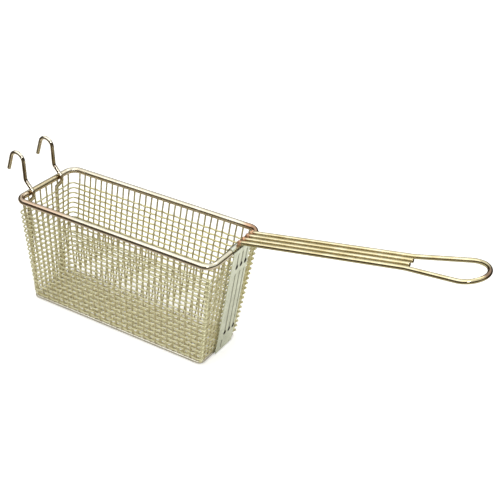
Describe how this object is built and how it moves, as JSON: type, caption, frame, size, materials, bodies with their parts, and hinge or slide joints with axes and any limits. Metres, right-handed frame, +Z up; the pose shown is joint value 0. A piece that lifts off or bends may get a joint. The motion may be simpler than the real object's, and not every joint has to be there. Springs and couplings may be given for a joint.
{
  "type": "deep fryer basket",
  "caption": "Narrow wire mesh frying basket with a rounded rim, a long multi-rod handle that opens into an eye, a grooved front plate and rear hooks to hang it up for draining.",
  "frame": {"origin": "on the floor plane, under the middle of the whole object's outline, handle and hooks included", "axes": "+Z up, +X from the basket towards the end of the handle, +Y towards the side that the handle is offset to"},
  "size_m": [0.71, 0.1304, 0.2511],
  "materials": {
    "rod_plating": "bright nickel plate with warm heat tint",
    "mesh_plating": "pale nickel plated wire",
    "plate_plating": "satin pressed sheet",
    "handle_plating": "bright plate with a gold tint",
    "hook_plating": "bright nickel plate"
  },
  "bodies": {
    "root": {"rim_wire": "rod_plating", "bottom_frame_wire": "rod_plating", "mesh_body": "mesh_plating", "front_plate": "plate_plating", "handle_eye_rod": "handle_plating", "handle_middle_rod_near": "handle_plating", "handle_middle_rod_far": "handle_plating", "hook_rod_near": "hook_plating", "hook_rod_far": "hook_plating"}
  },
  "joints": []
}
